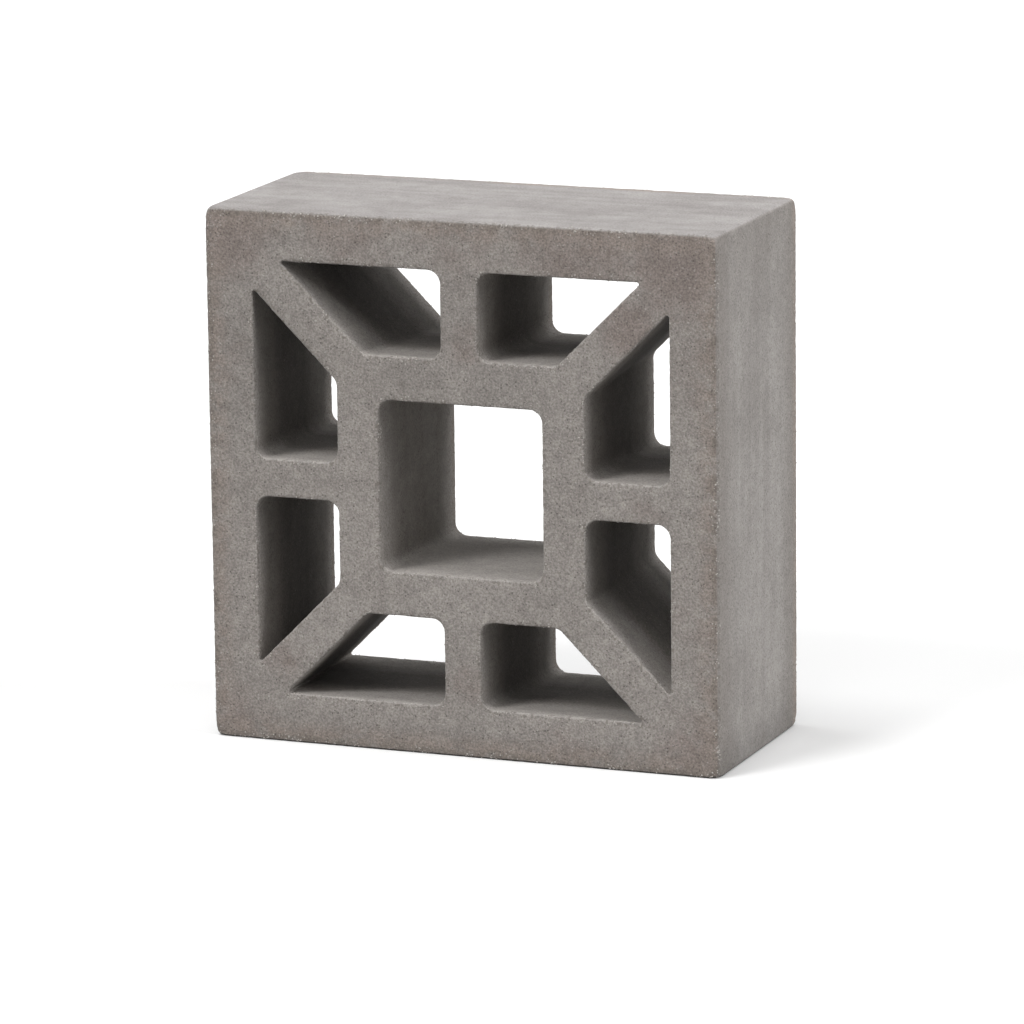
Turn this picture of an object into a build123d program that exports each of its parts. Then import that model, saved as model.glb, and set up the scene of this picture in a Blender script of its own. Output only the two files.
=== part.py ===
from build123d import *
import math
import os

# A pierced concrete screen block, cast in one piece, standing on its lower edge.
# X runs along the wall, Y from the front face to the back face, Z up.
# The origin is at the middle of the footprint, on the floor.

# Outside of the block
block_width = 290.0
block_height = 290.0
block_depth = 125.0
block_corner_radius = 2.0
block_arris_radius = 1.4

# Concrete between the holes, measured on the front face
frame_wall = 27.0
centre_hole_width = 93.0
centre_hole_height = 93.0
centre_wall = 24.0
straight_rib = 21.0
diagonal_rib = 22.0

# The cores taper: how much further out the hole walls stand at the back face,
# along the frame, along the centre frame and along the ribs
frame_draft = 8.5
centre_draft = 7.0
rib_draft = 5.5

# Rounding of the holes along their corners and sharp tips, and the worn bevel round their mouths
hole_corner_radius = 7.0
hole_tip_radius = 1.0
mouth_bevel = 0.9

# How far the cores pass the faces that they cut
overrun = 2.0


def diagonal_crossing(inner, outer, half_rib, level):
    """How far out the near side of a diagonal rib is, where it crosses a level."""
    run = outer[0] - inner[0]
    rise = outer[1] - inner[1]
    side_shift = half_rib * math.hypot(run, rise) / rise
    return inner[0] + (level - inner[1]) * run / rise - side_shift


def trapezoid(inner, outer, depth_share):
    """Corners, with their radii, of the hole between two ribs, at a share of the way to the back."""
    near = straight_rib / 2 - rib_draft * depth_share
    low = inner[1] - centre_draft * depth_share
    high = outer[1] + frame_draft * depth_share
    half_rib = diagonal_rib / 2 - rib_draft * depth_share
    low_end = diagonal_crossing(inner, outer, half_rib, low)
    tip = diagonal_crossing(inner, outer, half_rib, high)
    return [
        (near, low, hole_corner_radius),
        (low_end, low, hole_corner_radius),
        (tip, high, hole_tip_radius),
        (near, high, hole_corner_radius),
    ]


def tapered_core(corners_at):
    """A core with flat sloping sides, wide behind the block and narrow before it, and rounded corners."""
    wide_end = corners_at(1 + overrun / block_depth)
    narrow_end = corners_at(-overrun / block_depth)
    low = [(x, y, -overrun) for x, y, radius in wide_end]
    high = [(x, y, block_depth + overrun) for x, y, radius in narrow_end]
    sides = [[low[i - 1], low[i], high[i], high[i - 1]] for i in range(len(low))]
    core = Solid(Shell([Face(Wire.make_polygon(ring)) for ring in [low, high] + sides]))
    for x, y, radius in sorted(wide_end, key=lambda corner: corner[2]):
        rising = core.edges().filter_by(lambda edge: edge.bounding_box().size.Z > block_depth)
        core = fillet(rising.sort_by_distance((x, y, -overrun))[0], radius)
    return core


def square_corners(depth_share):
    """Corners, with their radii, of the square hole at a share of the way to the back."""
    x = centre_hole_width / 2 + centre_draft * depth_share
    y = centre_hole_height / 2 + centre_draft * depth_share
    return [(*corner, hole_corner_radius) for corner in [(-x, -y), (x, -y), (x, y), (-x, y)]]


def quarter_cores():
    """The two cores in one quarter of the frame, above and beside its diagonal rib."""
    inner = (centre_hole_width / 2 + centre_wall, centre_hole_height / 2 + centre_wall)
    outer = (block_width / 2 - frame_wall, block_height / 2 - frame_wall)

    def above(depth_share):
        return trapezoid(inner, outer, depth_share)

    def beside(depth_share):
        return [(x, y, radius) for y, x, radius in trapezoid(inner[::-1], outer[::-1], depth_share)]

    return [tapered_core(above), tapered_core(beside)]


def hole_cores():
    """Every core, for a block that lies on its back."""
    right_cores = []
    for core in quarter_cores():
        right_cores += [core, mirror(core, about=Plane.XZ)]
    left_cores = [mirror(core, about=Plane.YZ) for core in right_cores]
    return [tapered_core(square_corners)] + right_cores + left_cores


def flat_face(block, level):
    """The flat face of the lying block at one level."""
    return min(block.faces().filter_by(Axis.Z), key=lambda face: abs(face.center().Z - level))


def ease_edges(block, level):
    """Bevels the hole mouths and rounds the outer arris of the face at one level."""
    mouths = flat_face(block, level).inner_wires()
    block = chamfer([edge for mouth in mouths for edge in mouth.edges()], mouth_bevel)
    return fillet(flat_face(block, level).outer_wire().edges(), block_arris_radius)


def screen_block():
    """The block, cast lying on its back and then stood on its lower edge."""
    block = extrude(RectangleRounded(block_width, block_height, block_corner_radius), block_depth)
    for core in hole_cores():
        block = block - core
    for level in (0, block_depth):
        block = ease_edges(block, level)
    return Pos(0, block_depth / 2, block_height / 2) * Rot(90, 0, 0) * block


os.makedirs("parts", exist_ok=True)
export_step(screen_block(), "parts/screen_block.step")
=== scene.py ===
import math

import bmesh
import bpy
import numpy as np
from mathutils import Matrix, Vector
from mathutils.geometry import delaunay_2d_cdt
from mathutils.kdtree import KDTree


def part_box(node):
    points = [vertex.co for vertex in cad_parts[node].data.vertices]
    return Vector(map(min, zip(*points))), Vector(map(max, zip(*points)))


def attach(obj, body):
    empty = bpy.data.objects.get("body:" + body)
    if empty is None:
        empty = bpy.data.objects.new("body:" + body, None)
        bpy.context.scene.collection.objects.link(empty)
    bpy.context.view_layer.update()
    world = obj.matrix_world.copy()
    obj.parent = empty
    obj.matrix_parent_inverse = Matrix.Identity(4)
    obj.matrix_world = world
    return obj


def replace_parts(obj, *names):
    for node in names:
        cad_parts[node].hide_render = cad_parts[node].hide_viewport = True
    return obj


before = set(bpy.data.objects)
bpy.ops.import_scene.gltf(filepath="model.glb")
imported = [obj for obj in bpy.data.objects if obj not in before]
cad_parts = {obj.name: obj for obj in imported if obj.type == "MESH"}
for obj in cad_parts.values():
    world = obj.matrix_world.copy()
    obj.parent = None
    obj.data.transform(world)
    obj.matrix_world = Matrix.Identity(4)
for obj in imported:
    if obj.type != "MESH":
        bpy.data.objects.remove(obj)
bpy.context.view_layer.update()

# A cast concrete screen block: a square frame, a square centre frame, four straight ribs and
# four diagonal ribs, with nine holes that widen a little towards the back.
# Lengths are in metres. X runs along the wall, Y from the front to the back, Z up.
lowest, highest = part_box("screen_block")
block_width, block_depth, block_height = highest - lowest
front_y = lowest.y
middle_z = (lowest.z + highest.z) / 2

# Concrete between the holes, measured on the front face
frame_wall = 0.027
centre_hole = 0.093
centre_wall = 0.024
straight_rib = 0.021
diagonal_rib = 0.022

# How much further out the hole walls stand at the back
frame_draft = 0.0085
centre_draft = 0.007
rib_draft = 0.0055

# Rounded corners and worn arrises
block_corner_radius = 0.002
block_arris_radius = 0.0014
hole_corner_radius = 0.007
hole_tip_radius = 0.001
mouth_radius = 0.0011
corner_reach = 0.011
corner_loss = 0.0013
corner_sharpness = 3
arris_reach = 0.006

# Stands for the distance to an edge where there is none near
far_off = 0.05

# Where painted shade darkens the walls of the outer holes, as shares of the depth on either side of half way
deep_full = 0.15
deep_ends = 0.32

# Brown patches of cement on a face: place as shares of its half width and half height, reach,
# and strength. A patch fades out at its end, which is a share of its reach.
patch_end = 1.4
brown_patches = [
    (-0.93, 0.93, 0.030, 1.0),
    (-0.45, 0.93, 0.030, 0.6),
    (0.00, 0.95, 0.034, 0.5),
    (0.48, 0.93, 0.042, 0.8),
    (0.86, 0.90, 0.034, 1.0),
    (0.66, 0.64, 0.020, 0.9),
    (0.95, 0.50, 0.034, 0.4),
    (0.96, -0.42, 0.040, 0.4),
    (-0.95, 0.45, 0.030, 0.4),
    (0.94, -0.92, 0.030, 0.8),
    (0.40, -0.97, 0.026, 0.5),
    (-0.92, -0.94, 0.024, 0.7),
    (0.03, -0.72, 0.014, 0.6),
    (0.02, 0.55, 0.014, 0.6),
    (-0.72, -0.68, 0.014, 0.6),
    (0.72, -0.04, 0.016, 0.5),
]

# Dull grey patches, given in the same way
dull_patches = [
    (-0.92, 0.40, 0.045, 0.60),
    (-0.16, 0.40, 0.022, 0.40),
    (0.16, 0.40, 0.022, 0.40),
    (-0.02, 0.65, 0.024, 0.45),
    (0.00, -0.67, 0.020, 0.35),
]

# Fineness of the mesh
outline_spacing = 0.0016
arc_steps = 6
arris_steps = 4
front_point_spacing = 0.0022
back_point_spacing = 0.0036
side_rows = 40
hole_rows = 14
row_crowding = 1.35
point_jitter_share = 0.22
clear_share = 0.6
merge_distance = 1e-9
scatter_seed = 7

# Relief of the cast skin. A span says where a value begins and ends to count and, where it has
# four numbers, what it begins and ends as.
swell_height = 0.00025
swell_length = 0.060
sand_height = 0.00012
sand_length = 0.004
arris_loss = 0.00028
arris_length = 0.0030
worn_span = (-0.05, 0.25)
relief_seed = 3.0

# Sand grains that stand out of the arrises
grain_smallest = 0.00025
grain_largest = 0.00060
grains_per_area = 420000.0
clump_length = 0.009
grain_sunk_depth = 0.00016
clump_span = (-0.08, 0.16)
near_arris_span = (0.55, 1.0)
grain_seed = 5

# Colours of the concrete, as they are written in the material
cement_grey = (0.318, 0.291, 0.269, 1.0)
cement_pale = (0.358, 0.330, 0.306, 1.0)
cement_brown = (0.268, 0.227, 0.206, 1.0)
cement_dull = (0.262, 0.241, 0.223, 1.0)
side_grey = (0.286, 0.267, 0.252, 1.0)
side_pale = (0.372, 0.351, 0.334, 1.0)
side_dull = (0.262, 0.241, 0.224, 1.0)
wall_grey = (0.310, 0.284, 0.258, 1.0)
# Painted shade, half way through the narrow holes
deep_grey = (0.150, 0.135, 0.122, 1.0)
# Painted light on the hole walls that face up
painted_light_pale = (0.388, 0.362, 0.339, 1.0)
edge_dark = (0.190, 0.168, 0.148, 1.0)
edge_brown = (0.318, 0.270, 0.238, 1.0)
top_tint = (0.990, 0.995, 1.020, 1.0)
sand_dark = (0.105, 0.091, 0.082, 1.0)
sand_pale = (0.480, 0.455, 0.430, 1.0)
sand_bared = (0.505, 0.475, 0.442, 1.0)

# Sand in the cement. A scale counts the cells or waves of a pattern in each metre.
dark_grain_scale = 620.0
dark_grain_sizes = (0.25, 1.0, 0.0, 0.30)
dark_grain_edge = (-0.06, 0.10)
dark_grain_share = 0.64
pale_grain_scale = 560.0
pale_grain_sizes = (0.55, 1.0, 0.0, 0.30)
pale_grain_edge = (-0.05, 0.10)
pale_grain_share = 0.35
fine_tone_scale = 900.0
fine_tone_span = (0.25, 0.75, 0.74, 1.26)
blotch_scale = 140.0
blotch_span = (0.28, 0.72, 0.90, 1.10)
side_sand_span = (0.0, 1.0, 1.0, 0.55)
wall_sand_span = (0.0, 1.0, 1.0, 0.80)

# Patterns of the front and back faces
face_cloud_scale = 22.0
face_cloud_span = (0.30, 0.72)
face_patch_scale = 95.0
pale_band_span = (0.012, 0.002)
pale_band_patches = (0.30, 0.70)
pale_band_share = 0.6
dull_foot_span = (0.020, 0.006, 0.0, 0.75)
brown_span = (0.15, 1.0, 0.0, 0.9)
edge_tint_span = (0.014, 0.003)
edge_tint_patches = (0.30, 0.60, 0.10, 0.80)
edge_dark_span = (0.0045, 0.001)
edge_dark_patches = (0.35, 0.65, 0.0, 0.50)

# Patterns of the outer sides
side_begins_span = (0.0, 0.35)
streak_scale = (14.0, 90.0, 6.0)
streak_share = 0.45
side_cloud_scale = 24.0
side_pale_span = (0.34, 0.66)
side_edge_span = (0.032, 0.002, 0.0, 0.85)
side_top_span = (block_height - 0.040, block_height - 0.006, 0.0, 0.50)
# Painted shade, darker towards the foot of the sides
side_foot_shade_span = (0.0, 0.028, 0.76, 1.0)
upright_span = (0.9, 0.5)
top_span = (0.5, 0.9)
back_arris_span = (block_depth / 2 - 0.0105, block_depth / 2 - 0.0025)
back_arris_clouds = (0.35, 0.60, 0.20, 0.80)

# Walls of the holes with painted light where they face up, chips on the arrises, the painted shade along the
# foot, and the surface
wall_grey_share = 0.5
# Painted light: how far a hole wall must face up to turn paler
painted_light_span = (0.4, 0.9)
chip_scale = 420.0
chip_span = (0.54, 0.64)
chip_arris_span = (0.5, 0.9, 0.0, 0.6)
# Painted shade in a dark line along the foot, where the block meets the floor
painted_foot_shade_span = (0.0003, 0.0012, 0.2, 1.0)
roughness_span = (0.2, 0.8, 0.96, 0.86)
concrete_specular = 0.25
bump_strength = 0.55
bump_depth = 0.0005

# Bared sand
bared_scale = 420.0
bared_span = (0.35, 0.60)
bared_dark_share = 0.3
bared_roughness = 0.85
bared_specular = 0.3

# The photograph's camera: where it looks from, and what it looks at
view_azimuth = math.radians(21.69)
view_elevation = math.radians(12.42)
view_roll = math.radians(0.66)
view_distance = 3.4996
aim_point = Vector((0.00443, 0.0, 0.12126))
lens_mm = 228.5
sensor_mm = 36.0
clip_end = 50.0

# Studio light: each lamp's strength, softness, azimuth and elevation, in degrees
lamps = {
    "key_lamp": (1.30, 20.0, -30.0, 42.0),
    "low_left_lamp": (0.65, 36.0, -35.0, 22.0),
    "fill_lamp": (0.45, 36.0, 20.0, 55.0),
    "overhead_lamp": (1.36, 26.0, -80.0, 74.0),
    "high_right_lamp": (1.60, 30.0, 90.0, 35.0),
    "low_right_lamp": (1.15, 36.0, 86.0, 6.0),
    "back_lamp": (0.45, 40.0, 175.0, 30.0),
}
sky_strength = 0.03
floor_half_size = 8.0
floor_tone = 0.25
floor_seen_tone = 0.79
floor_lift = 0.21
contact_reach = 0.030
contact_open = 0.8
contact_samples = 4


# Outlines, in the plane of the front face, about its middle


def diagonal_crossing(half_rib, level):
    """How far out the near side of a diagonal rib is, where it crosses a level."""
    return level - half_rib * math.sqrt(2)


def trapezoid_corners(depth_share, set_back):
    """Corners, with their radii, of the hole above a diagonal rib."""
    near = straight_rib / 2 - rib_draft * depth_share - set_back
    low = centre_hole / 2 + centre_wall - centre_draft * depth_share - set_back
    high = block_width / 2 - frame_wall + frame_draft * depth_share + set_back
    half_rib = diagonal_rib / 2 - rib_draft * depth_share - set_back
    return [
        (near, low, hole_corner_radius),
        (diagonal_crossing(half_rib, low), low, hole_corner_radius),
        (diagonal_crossing(half_rib, high), high, hole_tip_radius),
        (near, high, hole_corner_radius),
    ]


def square_corners(x_reach, z_reach, radius):
    """Corners, with their radii, of a square about the middle."""
    signs = [(-1, -1), (1, -1), (1, 1), (-1, 1)]
    return [(x * x_reach, z * z_reach, radius) for x, z in signs]


def centre_corners(depth_share, set_back):
    """The square hole at the centre."""
    reach = centre_hole / 2 + centre_draft * depth_share + set_back
    return square_corners(reach, reach, hole_corner_radius)


def block_corners(set_back):
    """The outside of the block."""
    return square_corners(block_width / 2 - set_back, block_height / 2 - set_back, block_corner_radius)


def placed(corners_at, flip_x, flip_z, swap):
    """The same outline in another part of the block, still running anticlockwise."""
    def corners(depth_share, set_back):
        moved = []
        for x, z, radius in corners_at(depth_share, set_back):
            if swap:
                x, z = z, x
            moved.append((x * flip_x, z * flip_z, radius))
        mirrored = (flip_x * flip_z < 0) != swap
        return moved[::-1] if mirrored else moved
    return corners


def hole_outlines():
    """One function for each hole, which gives its corners at a share of the way to the back."""
    outlines = [centre_corners]
    for flip_x in (-1, 1):
        for flip_z in (-1, 1):
            for swap in (False, True):
                outlines.append(placed(trapezoid_corners, flip_x, flip_z, swap))
    return outlines


def corner_arc(before, corner, after, radius):
    """Points of the arc that rounds one corner."""
    to_before = (before - corner) / np.linalg.norm(before - corner)
    to_after = (after - corner) / np.linalg.norm(after - corner)
    half_angle = math.acos(np.clip(to_before @ to_after, -1, 1)) / 2
    middle = to_before + to_after
    centre = corner + middle / np.linalg.norm(middle) * radius / math.sin(half_angle)
    start = corner + to_before * radius / math.tan(half_angle) - centre
    sweep = math.pi - 2 * half_angle
    side = np.sign(to_after[0] * to_before[1] - to_after[1] * to_before[0])
    points = []
    for step in range(arc_steps + 1):
        turn = side * sweep * step / arc_steps
        cos, sin = math.cos(turn), math.sin(turn)
        points.append(centre + (start[0] * cos - start[1] * sin, start[0] * sin + start[1] * cos))
    return np.array(points)


def outline_points(corners, radius_change, run_counts=None):
    """The rounded outline as points, with as many on each straight run as the counts say."""
    places = [np.array((x, z)) for x, z, radius in corners]
    count = len(corners)
    arcs = []
    for i in range(count):
        radius = corners[i][2] + radius_change
        arcs.append(corner_arc(places[i - 1], places[i], places[(i + 1) % count], radius))
    if run_counts is None:
        runs = [np.linalg.norm(arcs[(i + 1) % count][0] - arcs[i][-1]) for i in range(count)]
        run_counts = [max(2, round(run / outline_spacing)) for run in runs]
    points = []
    for i in range(count):
        shares = np.arange(1, run_counts[i])[:, None] / run_counts[i]
        points += [arcs[i], arcs[i][-1] + (arcs[(i + 1) % count][0] - arcs[i][-1]) * shares]
    return np.vstack(points), run_counts


# The skin of the block


class Skin:
    """Points and faces of the block, with what the concrete needs to know at each point."""

    mark_names = ("arris", "wall", "deep", "side", "rim", "mouth", "brown", "dull")

    def __init__(self):
        self.points = []
        self.faces = []
        self.marks = {name: [] for name in self.mark_names}

    def add_points(self, places, depth, **marks):
        """Adds points at one depth behind the front plane and returns their numbers."""
        first = len(self.points)
        self.points += [(x, front_y + depth, middle_z + z) for x, z in places]
        marks["brown"] = patch_mark(places, depth, brown_patches)
        marks["dull"] = patch_mark(places, depth, dull_patches)
        for name, kept in self.marks.items():
            kept += list(np.broadcast_to(marks.get(name, 0.0), len(places)))
        return list(range(first, len(self.points)))

    def add_strip(self, rows):
        """Joins closed rows of points by four-sided faces."""
        for upper, lower in zip(rows, rows[1:]):
            for i in range(len(upper)):
                self.faces.append((upper[i - 1], upper[i], lower[i], lower[i - 1]))


def arris_mark(distance):
    """1 on an arris, fading to 0 away from it."""
    return np.clip(1 - np.asarray(distance) / arris_reach, 0, 1) ** 2


def patch_mark(places, depth, patches):
    """How strong the patches are, from 0 to 1. The back has the front's patches upside down."""
    facing = places if depth < block_depth / 2 else places * (1, -1)
    strongest = np.zeros(len(places))
    for x_share, z_share, reach, strength in patches:
        middle = np.array((x_share * block_width / 2, z_share * block_height / 2))
        distance = np.linalg.norm(facing - middle, axis=1)
        strongest = np.maximum(strongest, strength * np.clip(patch_end - distance / reach, 0, 1))
    return strongest


def wall_rows(arris_radius, row_count):
    """Depth, set-back and share turned of each row of a wall, from the front to the back arris."""
    front = []
    for step in range(arris_steps + 1):
        angle = math.radians(90) * step / arris_steps
        depth = arris_radius * (1 - math.cos(angle))
        set_back = arris_radius * (1 - math.sin(angle))
        front.append((depth, set_back, step / arris_steps))
    shares = np.linspace(0, 1, row_count + 1)[1:-1] ** row_crowding
    inner_depth = block_depth - 2 * arris_radius
    middle = [(arris_radius + share * inner_depth, 0.0, 1.0) for share in shares]
    back = [(block_depth - depth, set_back, turned) for depth, set_back, turned in reversed(front)]
    return front + middle + back


def deep_mark(depth, corners_at):
    """Painted shade: 1 half way through the narrow outer holes, and 0 near their mouths."""
    if corners_at is centre_corners:
        return 0.0
    from_middle = abs(depth / block_depth - 0.5)
    return np.clip((deep_ends - from_middle) / (deep_ends - deep_full), 0, 1)


def add_hole(skin, corners_at):
    """The wall of a hole. Returns its front and back rows."""
    run_counts = None
    rows = []
    for depth, set_back, turned in wall_rows(mouth_radius, hole_rows):
        places, run_counts = outline_points(corners_at(depth / block_depth, set_back), set_back, run_counts)
        arris = arris_mark(max(0.0, min(depth, block_depth - depth) - mouth_radius))
        # How much painted shade this row gets, half way through the narrow holes
        deep = deep_mark(depth, corners_at)
        rows.append(skin.add_points(places, depth, arris=arris, wall=turned, deep=deep, rim=far_off))
    skin.add_strip(rows)
    return rows[0], rows[-1]


def add_sides(skin):
    """The outer sides of the block. Returns their front and back rows."""
    run_counts = None
    rows = []
    for depth, set_back, turned in wall_rows(block_arris_radius, side_rows):
        places, run_counts = outline_points(block_corners(set_back), -set_back, run_counts)
        edge_distance = max(0.0, min(depth, block_depth - depth) - block_arris_radius)
        arris = arris_mark(edge_distance)
        rows.append(
            skin.add_points(places, depth, arris=arris, side=turned, rim=edge_distance, mouth=far_off)
        )
    skin.add_strip(rows)
    return rows[0], rows[-1]


def within(places, outline):
    """Which places lie inside a closed outline."""
    inside = np.zeros(len(places), bool)
    for (x0, z0), (x1, z1) in zip(outline, np.roll(outline, -1, axis=0)):
        if z0 == z1:
            continue
        crosses = (z0 > places[:, 1]) != (z1 > places[:, 1])
        reach = x0 + (places[:, 1] - z0) / (z1 - z0) * (x1 - x0)
        inside ^= crosses & (places[:, 0] < reach)
    return inside


def on_concrete(places, loops):
    """Which places lie inside the first loop and outside the others."""
    inside = within(places, loops[0])
    for loop in loops[1:]:
        inside &= ~within(places, loop)
    return inside


def distance_to(places, loops):
    """How far each place is from the nearest point of some loops."""
    edge = np.vstack(loops)
    tree = KDTree(len(edge))
    for i, (x, z) in enumerate(edge):
        tree.insert((x, z, 0), i)
    tree.balance()
    return np.array([tree.find((x, z, 0))[2] for x, z in places])


def scattered_places(spacing, random):
    """Rows of places, every other row shifted, each place moved a little at random."""
    reach_x, reach_z = block_width / 2, block_height / 2
    places = []
    for row, z in enumerate(np.arange(-reach_z, reach_z, spacing * math.sqrt(3) / 2)):
        shift = spacing / 2 * (row % 2)
        places += [(x + shift, z) for x in np.arange(-reach_x, reach_x, spacing)]
    jitter = random.uniform(-1, 1, (len(places), 2)) * spacing * point_jitter_share
    return np.array(places) + jitter


def add_face(skin, outer_row, mouth_rows, depth, spacing, random):
    """The pierced face between the outer arris and the mouths of the holes."""
    rows = [outer_row] + mouth_rows
    loops = [np.array([(skin.points[i][0], skin.points[i][2] - middle_z) for i in row]) for row in rows]
    places = scattered_places(spacing, random)
    places = places[on_concrete(places, loops)]
    rim = distance_to(places, loops[:1])
    mouth = distance_to(places, loops[1:])
    clear = np.minimum(rim, mouth) > spacing * clear_share
    places, rim, mouth = places[clear], rim[clear], mouth[clear]
    arris = arris_mark(np.minimum(rim, mouth))
    numbers = skin.add_points(places, depth, arris=arris, rim=rim, mouth=mouth)
    join_face(skin, rows, loops, numbers, places)


def join_face(skin, rows, loops, numbers, places):
    """Triangles over a pierced face, none of them across a hole."""
    points = [Vector(place) for place in np.vstack(loops + [places])]
    owners = sum(rows, []) + numbers
    edges = []
    first = 0
    for loop in loops:
        ring = list(range(first, first + len(loop)))
        edges += list(zip(ring, ring[1:] + ring[:1]))
        first += len(loop)
    corners, _, triangles, sources, _, _ = delaunay_2d_cdt(points, edges, [], 0, merge_distance)
    middles = np.array([sum((corners[i] for i in triangle), Vector((0, 0))) / 3 for triangle in triangles])
    for triangle, keep in zip(triangles, on_concrete(middles, loops)):
        if keep:
            skin.faces.append(tuple(owners[sources[i][0]] for i in triangle))


def cast_skin():
    """The whole closed skin of the block."""
    skin = Skin()
    random = np.random.default_rng(scatter_seed)
    outer_front, outer_back = add_sides(skin)
    mouths = [add_hole(skin, corners_at) for corners_at in hole_outlines()]
    add_face(skin, outer_front, [front for front, back in mouths], 0.0, front_point_spacing, random)
    add_face(skin, outer_back, [back for front, back in mouths], block_depth, back_point_spacing, random)
    return skin


def worn_at_corners(points):
    """The points, those near the eight corners of the block moved in towards its middle."""
    from_middle = np.array(points) - np.array((lowest + highest) / 2)
    to_sides = np.array(highest - lowest) / 2 - np.abs(from_middle)
    near = np.prod(np.clip(1 - to_sides / corner_reach, 0, 1), axis=1)
    loss = corner_loss * near ** corner_sharpness
    return np.array(points) - np.sign(from_middle) * loss[:, None]


def skin_mesh(skin):
    """The skin as a mesh whose faces point outwards, with its marks as point attributes."""
    mesh = bpy.data.meshes.new("cast_skin")
    mesh.from_pydata(worn_at_corners(skin.points).tolist(), [], skin.faces)
    for name, values in skin.marks.items():
        attribute = mesh.attributes.new(name, "FLOAT", "POINT")
        attribute.data.foreach_set("value", np.array(values, np.float32))
    work = bmesh.new()
    work.from_mesh(mesh)
    bmesh.ops.recalc_face_normals(work, faces=work.faces)
    work.to_mesh(mesh)
    work.free()
    mesh.shade_smooth()
    return mesh


# Node trees


def socket_named(sockets, name):
    """The socket of that name that is in use."""
    return next(socket for socket in sockets if socket.name == name and socket.enabled)


def add_node(tree, kind, inputs=None, **settings):
    """Adds a node, sets it up, and joins or sets its inputs."""
    node = tree.nodes.new(kind)
    for name, value in settings.items():
        setattr(node, name, value)
    for name, value in (inputs or {}).items():
        socket = socket_named(node.inputs, name)
        if isinstance(value, bpy.types.NodeSocket):
            tree.links.new(value, socket)
        else:
            socket.default_value = value
    return node


def result(node, name=None):
    """A node's output, by name or else the first in use."""
    if name is None:
        return next(socket for socket in node.outputs if socket.enabled)
    return socket_named(node.outputs, name)


def calculate(tree, operation, first, second=0.0):
    """One calculation with two values."""
    node = tree.nodes.new("ShaderNodeMath")
    node.operation = operation
    for socket, value in zip(node.inputs, (first, second)):
        if isinstance(value, bpy.types.NodeSocket):
            tree.links.new(value, socket)
        else:
            socket.default_value = value
    return result(node)


def product(tree, first, *others):
    """Values multiplied together."""
    for other in others:
        first = calculate(tree, "MULTIPLY", first, other)
    return first


def ramp(tree, value, low, high, out_low=0.0, out_high=1.0):
    """A value spread smoothly from one range to another."""
    inputs = {"Value": value, "From Min": low, "From Max": high, "To Min": out_low, "To Max": out_high}
    return result(add_node(tree, "ShaderNodeMapRange", inputs, interpolation_type="SMOOTHSTEP"))


def noise(tree, place, scale, detail=2.0, roughness=0.5):
    """Soft random values over a place."""
    inputs = {"Vector": place, "Scale": scale, "Detail": detail, "Roughness": roughness}
    return result(add_node(tree, "ShaderNodeTexNoise", inputs))


def mix_colour(tree, share, first, second, blend_type="MIX"):
    """Two colours mixed by a share."""
    inputs = {"Factor": share, "A": first, "B": second}
    return result(add_node(tree, "ShaderNodeMix", inputs, data_type="RGBA", blend_type=blend_type))


def shaded(tree, colour, tone, share=1.0):
    """A colour multiplied by a tone, in full or by a share."""
    return mix_colour(tree, share, colour, tone, blend_type="MULTIPLY")


def mix_shaders(tree, share, first, second):
    """Two shaders mixed by a share."""
    node = add_node(tree, "ShaderNodeMixShader", {"Fac": share})
    tree.links.new(first, node.inputs[1])
    tree.links.new(second, node.inputs[2])
    return result(node)


def add_shaders(tree, first, second):
    """Two shaders added together."""
    node = add_node(tree, "ShaderNodeAddShader")
    tree.links.new(first, node.inputs[0])
    tree.links.new(second, node.inputs[1])
    return result(node)


def new_group(name, kind, inputs, outputs):
    """A node group with named sockets. Returns it with its input and output nodes."""
    group = bpy.data.node_groups.new(name, kind)
    for direction, sockets in (("INPUT", inputs), ("OUTPUT", outputs)):
        for socket_name, socket_kind in sockets:
            group.interface.new_socket(name=socket_name, in_out=direction, socket_type=socket_kind)
    return group, group.nodes.new("NodeGroupInput"), group.nodes.new("NodeGroupOutput")


def set_inputs(modifier, values):
    """Sets a Geometry Nodes modifier's inputs by their identifiers."""
    for item in modifier.node_group.interface.items_tree:
        if item.item_type == "SOCKET" and item.in_out == "INPUT" and item.name in values:
            modifier[item.identifier] = values[item.name]


def shaped(mesh, group, values, name):
    """The mesh that a Geometry Nodes group makes of a mesh."""
    carrier = bpy.data.objects.new(name, mesh)
    bpy.context.scene.collection.objects.link(carrier)
    modifier = carrier.modifiers.new(name, "NODES")
    modifier.node_group = group
    set_inputs(modifier, values)
    depsgraph = bpy.context.evaluated_depsgraph_get()
    made = bpy.data.meshes.new_from_object(carrier.evaluated_get(depsgraph), depsgraph=depsgraph)
    bpy.data.objects.remove(carrier)
    made.name = name
    return made


def named_value(tree, name):
    """A point attribute, inside Geometry Nodes."""
    return result(add_node(tree, "GeometryNodeInputNamedAttribute", {"Name": name}, data_type="FLOAT"))


def seeded_noise(tree, place, length, seed, detail=2.0):
    """Soft random values over lengths of about one size, about zero."""
    scale = calculate(tree, "DIVIDE", 1.0, length)
    inputs = {"Vector": place, "W": seed, "Scale": scale, "Detail": detail}
    spread = result(add_node(tree, "ShaderNodeTexNoise", inputs, noise_dimensions="4D"))
    return calculate(tree, "SUBTRACT", spread, 0.5)


def moved_along(tree, shape, normal, distance):
    """Geometry moved along its normals."""
    offset_inputs = {"Vector": normal, "Scale": distance}
    offset = add_node(tree, "ShaderNodeVectorMath", offset_inputs, operation="SCALE")
    moved_inputs = {"Geometry": shape, "Offset": result(offset)}
    return result(add_node(tree, "GeometryNodeSetPosition", moved_inputs))


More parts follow.
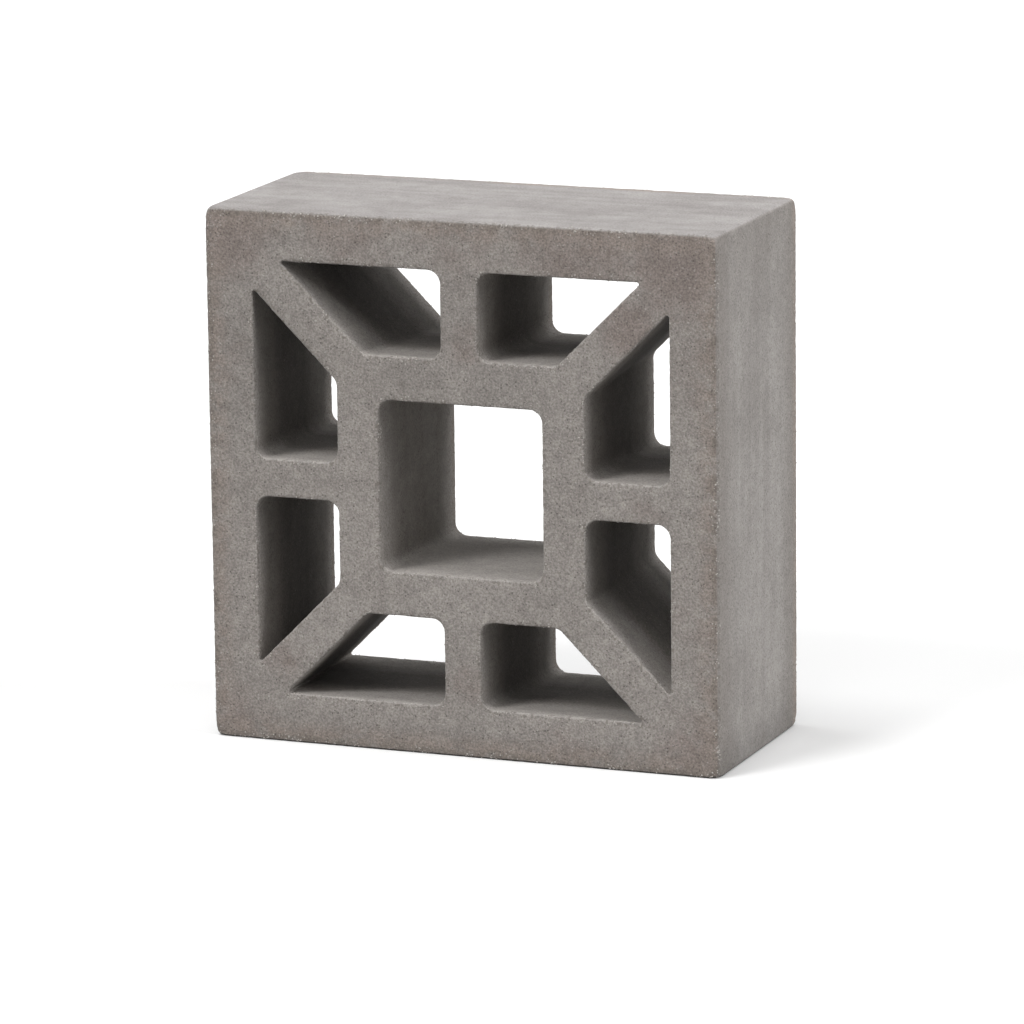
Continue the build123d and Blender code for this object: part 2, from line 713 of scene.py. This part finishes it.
def finish_tree(tree, shape, start, end):
    """Ends a Geometry Nodes group with whole geometry in its material."""
    whole = add_node(tree, "GeometryNodeRealizeInstances", {"Geometry": shape})
    painted_inputs = {"Geometry": result(whole), "Material": start.outputs["Material"]}
    painted = add_node(tree, "GeometryNodeSetMaterial", painted_inputs)
    tree.links.new(result(painted), end.inputs["Geometry"])


def relief_tree():
    """Geometry Nodes: the slow swell and sandy roughness of the skin, and what its arrises have lost."""
    number = "NodeSocketFloat"
    inputs = [("Geometry", "NodeSocketGeometry"), ("Swell height", number), ("Swell length", number)]
    inputs += [("Sand height", number), ("Sand length", number), ("Arris loss", number)]
    inputs += [("Arris length", number), ("Seed", number), ("Material", "NodeSocketMaterial")]
    outputs = [("Geometry", "NodeSocketGeometry")]
    tree, start, end = new_group("cast_relief", "GeometryNodeTree", inputs, outputs)
    place = result(add_node(tree, "GeometryNodeInputPosition"))
    seed = start.outputs["Seed"]
    swell = seeded_noise(tree, place, start.outputs["Swell length"], seed)
    sand = seeded_noise(tree, place, start.outputs["Sand length"], seed)
    wear = seeded_noise(tree, place, start.outputs["Arris length"], seed, detail=3.0)
    worn_share = product(tree, ramp(tree, wear, *worn_span), named_value(tree, "arris"))
    swelling = product(tree, swell, start.outputs["Swell height"])
    sanding = product(tree, sand, start.outputs["Sand height"])
    loss = product(tree, worn_share, start.outputs["Arris loss"])
    height = calculate(tree, "SUBTRACT", calculate(tree, "ADD", swelling, sanding), loss)
    normal = result(add_node(tree, "GeometryNodeInputNormal"))
    finish_tree(tree, moved_along(tree, start.outputs["Geometry"], normal, height), start, end)
    return tree


def grain_tree():
    """Geometry Nodes: sand grains, in clumps, half sunk in the arrises."""
    number = "NodeSocketFloat"
    inputs = [("Geometry", "NodeSocketGeometry"), ("Smallest grain", number), ("Largest grain", number)]
    inputs += [("Grains per area", number), ("Clump length", number), ("Sunk depth", number)]
    inputs += [("Seed", "NodeSocketInt"), ("Material", "NodeSocketMaterial")]
    outputs = [("Geometry", "NodeSocketGeometry")]
    tree, start, end = new_group("arris_grains", "GeometryNodeTree", inputs, outputs)
    place = result(add_node(tree, "GeometryNodeInputPosition"))
    seed = start.outputs["Seed"]
    clump = ramp(tree, seeded_noise(tree, place, start.outputs["Clump length"], seed), *clump_span)
    near = ramp(tree, named_value(tree, "arris"), *near_arris_span)
    density = product(tree, clump, near, start.outputs["Grains per area"])
    scatter_inputs = {"Mesh": start.outputs["Geometry"], "Density": density, "Seed": seed}
    scatter_kind = "GeometryNodeDistributePointsOnFaces"
    scatter = add_node(tree, scatter_kind, scatter_inputs, distribute_method="RANDOM")
    inwards = product(tree, start.outputs["Sunk depth"], -1.0)
    sunk = moved_along(tree, result(scatter, "Points"), result(scatter, "Normal"), inwards)
    grain = add_node(tree, "GeometryNodeMeshIcoSphere", {"Radius": 1.0, "Subdivisions": 1})
    sizes = {"Min": start.outputs["Smallest grain"], "Max": start.outputs["Largest grain"], "Seed": seed}
    size = result(add_node(tree, "FunctionNodeRandomValue", sizes, data_type="FLOAT"))
    full_turn = (2 * math.pi, 2 * math.pi, 2 * math.pi)
    turns = {"Min": (0, 0, 0), "Max": full_turn, "Seed": calculate(tree, "ADD", seed, 1.0)}
    turn = result(add_node(tree, "FunctionNodeRandomValue", turns, data_type="FLOAT_VECTOR"))
    laid_inputs = {"Points": sunk, "Instance": result(grain), "Rotation": turn, "Scale": size}
    laid = add_node(tree, "GeometryNodeInstanceOnPoints", laid_inputs)
    finish_tree(tree, result(laid), start, end)
    return tree


# Materials


def grain_mask(tree, place, scale, pick, sizes, edge):
    """Round grains, one in a cell at most, with a size that one colour of the cell picks."""
    cells = add_node(tree, "ShaderNodeTexVoronoi", {"Vector": place, "Scale": scale})
    picked = add_node(tree, "ShaderNodeSeparateColor", {"Color": result(cells, "Color")})
    size = ramp(tree, result(picked, pick), *sizes)
    return ramp(tree, calculate(tree, "SUBTRACT", size, result(cells, "Distance")), *edge)


def sand_speckle():
    """Shader group: the sand in the cement, as dark and pale grains, a fine tone and a height."""
    inputs = [("Vector", "NodeSocketVector")]
    number = "NodeSocketFloat"
    outputs = [("Dark grains", number), ("Pale grains", number), ("Tone", number), ("Height", number)]
    tree, start, end = new_group("sand_speckle", "ShaderNodeTree", inputs, outputs)
    place = start.outputs["Vector"]
    dark = grain_mask(tree, place, dark_grain_scale, "Red", dark_grain_sizes, dark_grain_edge)
    pale = grain_mask(tree, place, pale_grain_scale, "Green", pale_grain_sizes, pale_grain_edge)
    tone = noise(tree, place, fine_tone_scale, roughness=0.6)
    height = calculate(tree, "SUBTRACT", calculate(tree, "ADD", tone, pale), dark)
    tree.links.new(dark, end.inputs["Dark grains"])
    tree.links.new(pale, end.inputs["Pale grains"])
    tree.links.new(tone, end.inputs["Tone"])
    tree.links.new(height, end.inputs["Height"])
    return tree


def new_material(name):
    """An empty node material with a Principled BSDF on its output."""
    material = bpy.data.materials.new(name)
    material.use_nodes = True
    tree = material.node_tree
    tree.nodes.clear()
    shader = tree.nodes.new("ShaderNodeBsdfPrincipled")
    output = tree.nodes.new("ShaderNodeOutputMaterial")
    tree.links.new(shader.outputs["BSDF"], output.inputs["Surface"])
    return material, tree, shader


def mark(tree, name):
    """A point attribute, inside a material."""
    return result(add_node(tree, "ShaderNodeAttribute", attribute_name=name), "Fac")


def face_colour(tree, place, height):
    """Grey cement, dull and brown in patches along the border and pale in a band round the holes."""
    cloud = noise(tree, place, face_cloud_scale, detail=3.0)
    patch = noise(tree, place, face_patch_scale, detail=3.0, roughness=0.6)
    colour = mix_colour(tree, ramp(tree, cloud, *face_cloud_span), cement_grey, cement_pale)
    band = ramp(tree, mark(tree, "mouth"), *pale_band_span)
    pale_share = product(tree, band, ramp(tree, patch, *pale_band_patches), pale_band_share)
    colour = mix_colour(tree, pale_share, colour, cement_pale)
    dull_share = calculate(tree, "MAXIMUM", mark(tree, "dull"), ramp(tree, height, *dull_foot_span))
    colour = mix_colour(tree, dull_share, colour, cement_dull)
    uneven = calculate(tree, "SUBTRACT", patch, 0.5)
    brown_share = ramp(tree, calculate(tree, "ADD", mark(tree, "brown"), uneven), *brown_span)
    colour = mix_colour(tree, brown_share, colour, cement_brown)
    rim = mark(tree, "rim")
    tint_share = product(tree, ramp(tree, rim, *edge_tint_span), ramp(tree, patch, *edge_tint_patches))
    colour = mix_colour(tree, tint_share, colour, edge_brown)
    dark_share = product(tree, ramp(tree, rim, *edge_dark_span), ramp(tree, patch, *edge_dark_patches))
    return mix_colour(tree, dark_share, colour, edge_dark)


def side_colour(tree, place, facing_up, height):
    """Smoother grey cement in streaks, dull along its edges, cooler on top, brown at the back arris, with
    painted shade towards the foot.
    """
    stretch = add_node(tree, "ShaderNodeMapping", {"Vector": place, "Scale": streak_scale})
    streak = product(tree, noise(tree, result(stretch), 1.0, detail=3.0), streak_share)
    cloud = noise(tree, place, side_cloud_scale, detail=3.0)
    both = calculate(tree, "ADD", streak, product(tree, cloud, 1 - streak_share))
    colour = mix_colour(tree, ramp(tree, both, *side_pale_span), side_grey, side_pale)
    edges = ramp(tree, mark(tree, "rim"), *side_edge_span)
    edges = calculate(tree, "MAXIMUM", edges, ramp(tree, height, *side_top_span))
    dull_share = product(tree, edges, ramp(tree, facing_up, *upright_span))
    colour = mix_colour(tree, dull_share, colour, side_dull)
    # Painted shade: darker towards the foot
    colour = shaded(tree, colour, ramp(tree, height, *side_foot_shade_span))
    colour = shaded(tree, colour, top_tint, ramp(tree, facing_up, *top_span))
    depth = result(add_node(tree, "ShaderNodeSeparateXYZ", {"Vector": place}), "Y")
    back_share = product(tree, ramp(tree, depth, *back_arris_span), ramp(tree, cloud, *back_arris_clouds))
    return mix_colour(tree, back_share, colour, edge_brown)


def wall_colour(tree, streaked, facing_up):
    """The walls of the holes, with painted light where they face up and painted shade half way through the
    narrow ones.
    """
    colour = mix_colour(tree, wall_grey_share, streaked, wall_grey)
    # Painted light: paler where the hole walls face up
    colour = mix_colour(tree, ramp(tree, facing_up, *painted_light_span), colour, painted_light_pale)
    # Painted shade: darker half way through the narrow holes
    return mix_colour(tree, mark(tree, "deep"), colour, deep_grey)


def sanded(tree, colour, place, speckle, sandy):
    """A colour with the grains, fine tone and blotches of sandy cement."""
    dark_share = product(tree, result(speckle, "Dark grains"), sandy, dark_grain_share)
    colour = mix_colour(tree, dark_share, colour, sand_dark)
    pale_share = product(tree, result(speckle, "Pale grains"), sandy, pale_grain_share)
    colour = mix_colour(tree, pale_share, colour, sand_pale)
    tone = ramp(tree, result(speckle, "Tone"), *fine_tone_span)
    blotch = ramp(tree, noise(tree, place, blotch_scale, detail=3.0, roughness=0.6), *blotch_span)
    return shaded(tree, colour, product(tree, tone, blotch), sandy)


def chipped(tree, colour, place):
    """A colour with small dark chips along the arrises."""
    chips = ramp(tree, noise(tree, place, chip_scale, detail=1.0), *chip_span)
    chip_share = product(tree, chips, ramp(tree, mark(tree, "arris"), *chip_arris_span))
    return mix_colour(tree, chip_share, colour, edge_dark)


def concrete_material(speckle_group):
    """Cast concrete: matt, sandy and mottled."""
    material, tree, shader = new_material("cast_concrete")
    coordinates = add_node(tree, "ShaderNodeTexCoord")
    place = result(coordinates, "Object")
    normal = result(coordinates, "Normal")
    facing_up = result(add_node(tree, "ShaderNodeSeparateXYZ", {"Vector": normal}), "Z")
    height = result(add_node(tree, "ShaderNodeSeparateXYZ", {"Vector": place}), "Z")
    speckle = add_node(tree, "ShaderNodeGroup", node_tree=speckle_group)
    tree.links.new(place, speckle.inputs["Vector"])
    side = ramp(tree, mark(tree, "side"), *side_begins_span)
    wall = mark(tree, "wall")
    streaked = side_colour(tree, place, facing_up, height)
    not_face = calculate(tree, "MAXIMUM", side, wall)
    colour = mix_colour(tree, not_face, face_colour(tree, place, height), streaked)
    colour = mix_colour(tree, wall, colour, wall_colour(tree, streaked, facing_up))
    sandy = product(tree, ramp(tree, side, *side_sand_span), ramp(tree, wall, *wall_sand_span))
    colour = chipped(tree, sanded(tree, colour, place, speckle, sandy), place)
    # Painted shade: a dark line along the foot, where the block meets the floor
    colour = shaded(tree, colour, ramp(tree, height, *painted_foot_shade_span))
    tree.links.new(colour, shader.inputs["Base Color"])
    roughness = ramp(tree, result(speckle, "Tone"), *roughness_span)
    tree.links.new(roughness, shader.inputs["Roughness"])
    shader.inputs["Specular IOR Level"].default_value = concrete_specular
    bump_inputs = {"Strength": bump_strength, "Distance": bump_depth, "Height": result(speckle, "Height")}
    tree.links.new(result(add_node(tree, "ShaderNodeBump", bump_inputs)), shader.inputs["Normal"])
    return material


def grain_material(speckle_group):
    """Pale sand grains, bared where the arrises have worn."""
    material, tree, shader = new_material("bared_sand")
    place = result(add_node(tree, "ShaderNodeTexCoord"), "Object")
    speckle = add_node(tree, "ShaderNodeGroup", node_tree=speckle_group)
    tree.links.new(place, speckle.inputs["Vector"])
    bared = ramp(tree, noise(tree, place, bared_scale), *bared_span)
    colour = mix_colour(tree, bared, cement_pale, sand_bared)
    dark_share = product(tree, result(speckle, "Dark grains"), bared_dark_share)
    colour = mix_colour(tree, dark_share, colour, sand_dark)
    tree.links.new(colour, shader.inputs["Base Color"])
    shader.inputs["Roughness"].default_value = bared_roughness
    shader.inputs["Specular IOR Level"].default_value = bared_specular
    return material


def floor_material():
    """A pale floor that the camera sees as white, with the block's shadow on it."""
    material = bpy.data.materials.new("pale_floor")
    material.use_nodes = True
    tree = material.node_tree
    tree.nodes.clear()
    tone = (floor_tone, floor_tone, floor_tone, 1.0)
    seen_tone = (floor_seen_tone, floor_seen_tone, floor_seen_tone, 1.0)
    plain = result(add_node(tree, "ShaderNodeBsdfDiffuse", {"Color": tone}))
    seen = result(add_node(tree, "ShaderNodeBsdfDiffuse", {"Color": seen_tone}))
    reach = {"Distance": contact_reach}
    contact = add_node(tree, "ShaderNodeAmbientOcclusion", reach, samples=contact_samples)
    lift = ramp(tree, result(contact, "AO"), 0.0, contact_open, 0.0, floor_lift)
    white = result(add_node(tree, "ShaderNodeEmission", {"Color": (1.0, 1.0, 1.0, 1.0), "Strength": lift}))
    choice = mix_shaders(tree, seen_ray(tree), plain, add_shaders(tree, seen, white))
    add_node(tree, "ShaderNodeOutputMaterial", {"Surface": choice})
    return material


def seen_ray(tree):
    """1 for what the camera sees straight, reflected or passed through, and 0 for light that is scattered."""
    rays = tree.nodes.new("ShaderNodeLightPath")
    share = calculate(tree, "MAXIMUM", rays.outputs["Is Camera Ray"], rays.outputs["Is Glossy Ray"])
    return calculate(tree, "MAXIMUM", share, rays.outputs["Is Transmission Ray"])


# The studio


def direction(azimuth, elevation):
    """The way towards a place round the block: azimuth 0 is in front of it, 90 degrees to its right."""
    flat = math.cos(elevation)
    return Vector((math.sin(azimuth) * flat, -math.cos(azimuth) * flat, math.sin(elevation)))


def add_camera():
    """A long lens, level but for a slight roll."""
    data = bpy.data.cameras.new("photo_camera")
    data.sensor_width = sensor_mm
    data.lens = lens_mm
    data.clip_end = clip_end
    camera = bpy.data.objects.new("photo_camera", data)
    away = direction(view_azimuth, view_elevation)
    turn = away.to_track_quat("Z", "Y").to_matrix().to_4x4()
    roll = Matrix.Rotation(-view_roll, 4, "Z")
    camera.matrix_world = Matrix.Translation(aim_point + away * view_distance) @ turn @ roll
    bpy.context.scene.collection.objects.link(camera)
    bpy.context.scene.camera = camera


def add_lamps():
    """Broad lamps, far off."""
    for name, (strength, softness, azimuth, elevation) in lamps.items():
        data = bpy.data.lights.new(name, "SUN")
        data.energy = strength
        data.angle = math.radians(softness)
        lamp = bpy.data.objects.new(name, data)
        towards = direction(math.radians(azimuth), math.radians(elevation))
        lamp.rotation_euler = towards.to_track_quat("Z", "Y").to_euler()
        bpy.context.scene.collection.objects.link(lamp)


def add_sky():
    """Even light from all round, which the camera sees as white."""
    world = bpy.data.worlds.new("studio")
    world.use_nodes = True
    tree = world.node_tree
    tree.nodes.clear()
    white = (1.0, 1.0, 1.0, 1.0)
    dim = result(add_node(tree, "ShaderNodeBackground", {"Color": white, "Strength": sky_strength}))
    bright = result(add_node(tree, "ShaderNodeBackground", {"Color": white, "Strength": 1.0}))
    add_node(tree, "ShaderNodeOutputWorld", {"Surface": mix_shaders(tree, seen_ray(tree), dim, bright)})
    bpy.context.scene.world = world


def add_floor():
    """A plain floor under the block."""
    reach = floor_half_size
    mesh = bpy.data.meshes.new("studio_floor")
    corners = [(-reach, -reach, 0.0), (reach, -reach, 0.0), (reach, reach, 0.0), (-reach, reach, 0.0)]
    mesh.from_pydata(corners, [], [(0, 1, 2, 3)])
    mesh.materials.append(floor_material())
    floor = bpy.data.objects.new("studio_floor", mesh)
    bpy.context.scene.collection.objects.link(floor)


def add_piece(name, mesh):
    """Puts a finished mesh on the block's body."""
    piece = bpy.data.objects.new(name, mesh)
    bpy.context.scene.collection.objects.link(piece)
    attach(piece, "root")
    return piece


def add_block():
    """The cast block, and the sand bared on its arrises."""
    speckle_group = sand_speckle()
    plain_skin = skin_mesh(cast_skin())
    relief = {
        "Swell height": swell_height,
        "Swell length": swell_length,
        "Sand height": sand_height,
        "Sand length": sand_length,
        "Arris loss": arris_loss,
        "Arris length": arris_length,
        "Seed": relief_seed,
        "Material": concrete_material(speckle_group),
    }
    block_mesh = shaped(plain_skin, relief_tree(), relief, "cast_block")
    grains = {
        "Smallest grain": grain_smallest,
        "Largest grain": grain_largest,
        "Grains per area": grains_per_area,
        "Clump length": clump_length,
        "Sunk depth": grain_sunk_depth,
        "Seed": grain_seed,
        "Material": grain_material(speckle_group),
    }
    grain_mesh = shaped(block_mesh, grain_tree(), grains, "arris_sand")
    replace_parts(add_piece("cast_block", block_mesh), "screen_block")
    add_piece("arris_sand", grain_mesh)


bpy.context.scene.view_settings.view_transform = "Standard"
add_camera()
add_lamps()
add_sky()
add_floor()
add_block()
